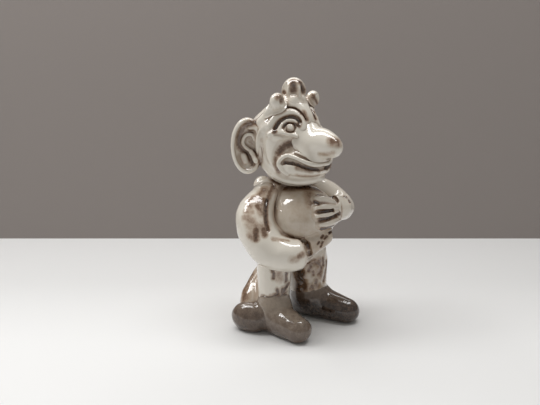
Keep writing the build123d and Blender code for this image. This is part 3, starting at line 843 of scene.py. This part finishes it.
def brushed_oxide_and_shade(name, p):
    """How much oxide, and painted shade, the brush left on each spot of a piece."""
    source = twins.get(name, name)
    near = np.where([True, False, False], -np.abs(p), p) if name in twins else p
    total = np.zeros(len(p))
    for pixels, width, strength in washes_and_painted_shade.get(source, []):
        spine = flowing(seen(fields[source], pixels)[0], 4)
        d = np.full(len(p), 1e6)
        for a, b in zip(spine, spine[1:]):
            run = b - a
            t = np.clip((near - a) @ run / max(float(run @ run), 1e-9), 0, 1)
            d = np.minimum(d, length(near - a - t[:, None] * run))
        t = np.clip(1 - d / (stroke_fade * width), 0, 1)
        total = np.maximum(total, strength * t * t * (3 - 2 * t))
    return total


# Glazes
def noise_at(tree, where, scale, detail, rough):
    noise = tree.nodes.new("ShaderNodeTexNoise")
    noise.inputs["Scale"].default_value = scale
    noise.inputs["Detail"].default_value = detail
    noise.inputs["Roughness"].default_value = rough
    tree.links.new(where, noise.inputs["Vector"])
    return noise.outputs["Fac"]


def math_at(tree, operation, *values):
    node = tree.nodes.new("ShaderNodeMath")
    node.operation = operation
    for socket, value in zip(node.inputs, values):
        if isinstance(value, (int, float)):
            socket.default_value = value
        else:
            tree.links.new(value, socket)
    return node.outputs[0]


def mix_at(tree, share, low, high):
    node = tree.nodes.new("ShaderNodeMix")
    node.data_type = "RGBA"
    for socket, value in zip((node.inputs[0], node.inputs[6], node.inputs[7]), (share, low, high)):
        if isinstance(value, tuple):
            socket.default_value = (*value, 1)
        else:
            tree.links.new(value, socket)
    return node.outputs[2]


def ramp_at(tree, value, stops):
    node = tree.nodes.new("ShaderNodeValToRGB")
    tree.links.new(value, node.inputs["Fac"])
    elements = node.color_ramp.elements
    elements[0].position, elements[-1].position = stops[0][0], stops[-1][0]
    elements[0].color, elements[-1].color = (*stops[0][1], 1), (*stops[-1][1], 1)
    for position, colour in stops[1:-1]:
        elements.new(position).color = (*colour, 1)
    return node.outputs["Color"]


cloud_scale = 230
grain_scale = 1900
patch_scale = 560
peel_scale = 230
patch_gain = 1.2
patch_shift = -0.30
drift_gain = 0.16
film_share = 0.2


def oxide_and_shade_group():
    """Where the brown oxide and the painted shade lie: oxide pooled in creases, oxide and shade brushed on,
    both broken up into grains.
    """
    tree = bpy.data.node_groups.new("oxide_and_shade", "ShaderNodeTree")
    tree.interface.new_socket("Vector", in_out="INPUT", socket_type="NodeSocketVector")
    tree.interface.new_socket("Pool", in_out="INPUT", socket_type="NodeSocketFloat")
    tree.interface.new_socket("Brush", in_out="INPUT", socket_type="NodeSocketFloat")
    tree.interface.new_socket("Mask", in_out="OUTPUT", socket_type="NodeSocketFloat")
    tree.interface.new_socket("Cloud", in_out="OUTPUT", socket_type="NodeSocketFloat")
    given = tree.nodes.new("NodeGroupInput").outputs
    result = tree.nodes.new("NodeGroupOutput").inputs
    cloud = noise_at(tree, given["Vector"], cloud_scale, 4, 0.6)
    grain = noise_at(tree, given["Vector"], grain_scale, 3, 0.65)
    patch = noise_at(tree, given["Vector"], patch_scale, 2, 0.55)
    broken = math_at(tree, "ADD", math_at(tree, "MULTIPLY_ADD", patch, patch_gain, patch_shift), grain)
    gritty = math_at(tree, "MULTIPLY", given["Brush"], broken)
    drift = math_at(tree, "MULTIPLY_ADD", cloud, drift_gain, -drift_gain / 2)
    pool = math_at(tree, "ADD", given["Pool"], drift)
    mask = math_at(tree, "MAXIMUM", pool, gritty)
    film = math_at(tree, "MULTIPLY", given["Brush"], film_share)
    tree.links.new(math_at(tree, "ADD", mask, film), result["Mask"])
    tree.links.new(cloud, result["Cloud"])
    return tree


oxide_and_shade = oxide_and_shade_group()


def glaze(name, gloss, bare, warm, stops):
    """A glossy glaze: its bare colour, a warm wash over that, and oxide colours from thin to thick, which
    also colour the painted shade. On the brown glaze the warm wash is also painted light: strong on the
    right shoe, weak on the shaded left one.
    """
    material = bpy.data.materials.new(name)
    material.use_nodes = True
    tree = material.node_tree
    shader = tree.nodes["Principled BSDF"]
    shader.inputs["Specular IOR Level"].default_value = 0.1
    shader.inputs["Coat Weight"].default_value = 1.0
    shader.inputs["Coat Roughness"].default_value = 0.03
    shader.inputs["Coat IOR"].default_value = gloss
    where = tree.nodes.new("ShaderNodeTexCoord").outputs["Object"]
    painted = {}
    for attribute in ("pool", "brush", "tan"):
        node = tree.nodes.new("ShaderNodeAttribute")
        node.attribute_name = attribute
        painted[attribute] = node.outputs["Fac"]
    group = tree.nodes.new("ShaderNodeGroup")
    group.node_tree = oxide_and_shade
    tree.links.new(where, group.inputs["Vector"])
    tree.links.new(painted["pool"], group.inputs["Pool"])
    tree.links.new(painted["brush"], group.inputs["Brush"])
    cloud = group.outputs["Cloud"]
    warmth = math_at(tree, "MULTIPLY", painted["tan"], math_at(tree, "MULTIPLY_ADD", cloud, 1.2, 0.4))
    ground = mix_at(tree, warmth, bare, warm)
    cover = ramp_at(tree, group.outputs["Mask"], [(at, (share,) * 3) for at, share, _ in stops])
    stain = ramp_at(tree, group.outputs["Mask"], [(at, colour) for at, _, colour in stops])
    tree.links.new(mix_at(tree, cover, ground, stain), shader.inputs["Base Color"])
    tree.links.new(math_at(tree, "MULTIPLY_ADD", cloud, 0.12, 0.06), shader.inputs["Roughness"])
    peel = tree.nodes.new("ShaderNodeBump")
    peel.inputs["Strength"].default_value = 0.03
    peel.inputs["Distance"].default_value = 0.0004
    tree.links.new(noise_at(tree, where, peel_scale, 1, 0.4), peel.inputs["Height"])
    tree.links.new(peel.outputs["Normal"], shader.inputs["Normal"])
    return material


# Oxide colours from thin to thick; the same colours paint the shade that some strokes lay on.
cream_oxide_and_shade = [(0.06, 0.0, (0.40, 0.28, 0.165)), (0.24, 0.50, (0.28, 0.150, 0.066)),
               (0.50, 0.92, (0.130, 0.054, 0.017)), (0.85, 1.0, (0.050, 0.020, 0.006))]
brown_oxide_and_shade = [(0.08, 0.0, (0.14, 0.098, 0.07)), (0.30, 0.6, (0.078, 0.046, 0.030)),
               (0.60, 0.95, (0.030, 0.016, 0.010)), (0.85, 1.0, (0.012, 0.007, 0.004))]
cream = glaze("cream_glaze", 1.8, (0.735, 0.692, 0.612), (0.36, 0.265, 0.18), cream_oxide_and_shade)
brown = glaze("brown_glaze", 1.6, (0.175, 0.13, 0.098), (0.35, 0.29, 0.23), brown_oxide_and_shade)

shading_step = 0.3
for name, (points, quads) in meshes.items():
    normals = slope(fields[name], points, shading_step)
    normals /= np.maximum(length(normals), 1e-6)[:, None]
    mesh = bpy.data.meshes.new(name)
    mesh.from_pydata((points * unit + origin).tolist(), [], quads.tolist())
    mesh.shade_smooth()
    mesh.normals_split_custom_set_from_vertices(normals.tolist())
    pool = pool_gains.get(name, 1.0) * pooled(points, normals.astype(SINGLE))
    brush = brushed_oxide_and_shade(name, points)
    if name in brown_nodes:
        # Brown pieces: lighter upward and darker towards the sole; the shoes' values also paint light on
        # the right shoe and shade on the left.
        rise = points[:, 2] / sole_band
        tan = tans_and_light[name] * np.clip(rise - bare_sole, 0, 1)
        brush = speckles_and_shade[name] * np.clip(speckle_start - speckle_fall * rise, speckle_least, 1)
    else:
        tan = tinted(points)
    layers = {"pool": pool, "brush": brush, "tan": tan}
    for layer, values in layers.items():
        mesh.attributes.new(layer, "FLOAT", "POINT").data.foreach_set("value", values.astype(SINGLE))
    mesh.materials.append(brown if name in brown_nodes else cream)
    piece = bpy.data.objects.new(f"glazed_{name}", mesh)
    bpy.context.collection.objects.link(piece)
    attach(piece, "root")
    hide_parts(name)


def place(p):
    return Vector((np.array(p) * unit + origin).tolist())


# Camera
camera_data = bpy.data.cameras.new("camera")
camera_data.sensor_width = 36
camera_data.lens = focal_px / picture[0] * camera_data.sensor_width
camera_data.clip_start = 0.01
camera = bpy.data.objects.new("camera", camera_data)
turn = Matrix((right_way, up_way, -look_way)).transposed()
camera.matrix_world = Matrix.Translation(place(eye_point)) @ turn.to_4x4()
bpy.context.collection.objects.link(camera)
bpy.context.scene.camera = camera


# Floor and backdrop
def plain(name, colour, roughness):
    material = bpy.data.materials.new(name)
    material.use_nodes = True
    material.node_tree.nodes["Principled BSDF"].inputs["Base Color"].default_value = (*colour, 1)
    material.node_tree.nodes["Principled BSDF"].inputs["Roughness"].default_value = roughness
    return material


def one_sided(material):
    """The material, clear on the back of a panel, so that the figure shows from every side."""
    tree = material.node_tree
    facing = tree.nodes.new("ShaderNodeNewGeometry").outputs["Backfacing"]
    clear = tree.nodes.new("ShaderNodeBsdfTransparent").outputs["BSDF"]
    either = tree.nodes.new("ShaderNodeMixShader")
    tree.links.new(facing, either.inputs[0])
    tree.links.new(tree.nodes["Principled BSDF"].outputs["BSDF"], either.inputs[1])
    tree.links.new(clear, either.inputs[2])
    tree.links.new(either.outputs["Shader"], tree.nodes["Material Output"].inputs["Surface"])
    return material


def panel(name, corners, material):
    mesh = bpy.data.meshes.new(name)
    mesh.from_pydata([place(corner) for corner in corners], [], [(0, 1, 2, 3)])
    mesh.materials.append(material)
    obj = bpy.data.objects.new(name, mesh)
    bpy.context.collection.objects.link(obj)


room = 1500.0
panel("floor", [(-room, -room, 0), (room, -room, 0), (room, room, 0), (-room, room, 0)],
      plain("pale_floor", (0.74, 0.74, 0.735), 0.5))
wall_row = 238.5
wall_distance = camera_height / math.tan(pitch + math.atan((wall_row - picture[1] / 2) / focal_px))
wall_foot = eye_point + level_way * wall_distance
wall_foot[2] = 0
wall_height = 170.0
wall_side = right_way * room
wall_rise = np.array([0, 0, wall_height])
panel("backdrop", [wall_foot - wall_side, wall_foot + wall_side, wall_foot + wall_side + wall_rise,
                   wall_foot - wall_side + wall_rise],
      one_sided(plain("taupe_backdrop", (0.28, 0.25, 0.235), 0.9)))


# Light
def lamp(name, at, aim, size, power):
    data = bpy.data.lights.new(name, "AREA")
    data.shape = "RECTANGLE"
    data.size = size[0] * unit
    data.size_y = size[1] * unit
    data.energy = power
    obj = bpy.data.objects.new(name, data)
    way = np.array(aim, float) - np.array(at, float)
    way /= length(way)
    side = right_way - way * (right_way @ way)
    side /= length(side)
    turn = Matrix((side, np.cross(-way, side), -way)).transposed()
    obj.matrix_world = Matrix.Translation(place(at)) @ turn.to_4x4()
    bpy.context.collection.objects.link(obj)


target = np.array([0, 0, 50.0])
up = np.array([0, 0, 1.0])
lamp_rise = 430
lamp_left = 80
key_back = 10
twin_back = 300
side_left = 330
side_rise = 390
side_back = 120
overhead = target - right_way * lamp_left + up * lamp_rise
beside = target - right_way * side_left + up * side_rise + level_way * side_back
lamp("key", overhead + level_way * key_back, target, (760, 130), 2.2)
lamp("key_twin", overhead + level_way * twin_back, target, (800, 100), 0.8)
lamp("side", beside, target, (50, 380), 0.4)

world = bpy.data.worlds.new("studio")
world.use_nodes = True
world.node_tree.nodes["Background"].inputs["Color"].default_value = (0.79, 0.77, 0.74, 1)
world.node_tree.nodes["Background"].inputs["Strength"].default_value = 0.45
bpy.context.scene.world = world
bpy.context.scene.view_settings.view_transform = "Standard"
